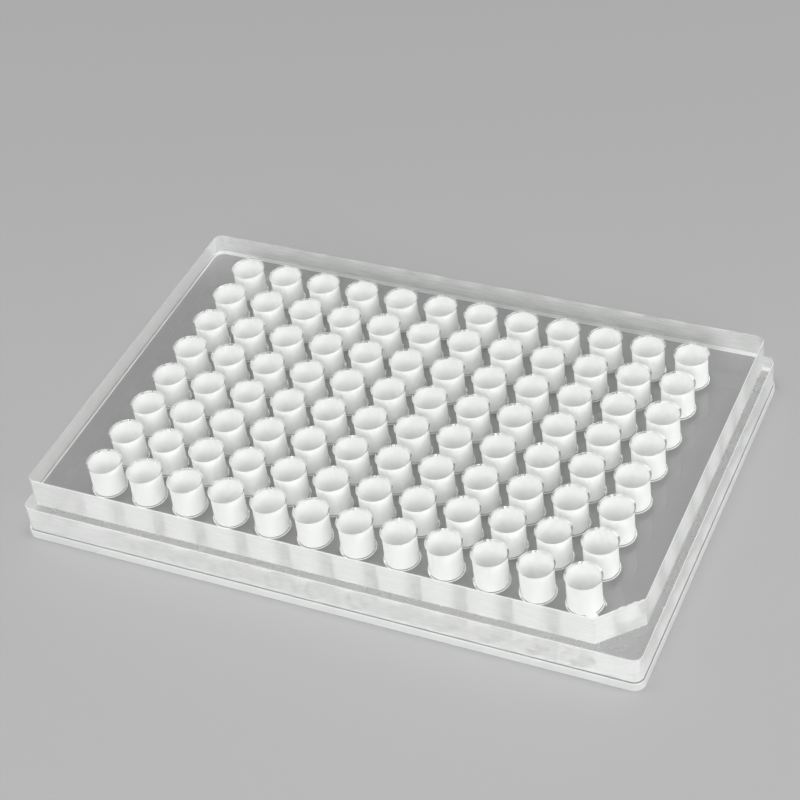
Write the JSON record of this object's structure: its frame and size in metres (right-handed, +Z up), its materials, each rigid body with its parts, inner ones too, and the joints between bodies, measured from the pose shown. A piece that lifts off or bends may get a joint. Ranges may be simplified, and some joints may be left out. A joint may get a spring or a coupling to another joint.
{
  "type": "well plate",
  "caption": "Clear rectangular laboratory plate: a grid of round, frosted, flat-bottomed wells in a stepped solid block with one cut corner, bonded to a thin clear base.",
  "frame": {"origin": "centre of the footprint, on the flat face that the plate rests on", "axes": "+X along the rows of twelve wells, +Y along the columns of eight, away from the cut corner's side, +Z up out of the wells"},
  "size_m": [0.1278, 0.0854, 0.0143],
  "materials": {
    "clear_block": "polished clear outside, the 96 well walls ground to a white frost",
    "clear_base": "polished clear faces with finely ground edges"
  },
  "bodies": {
    "root": {"well_block": "clear_block", "base_plate": "clear_base"}
  },
  "joints": []
}
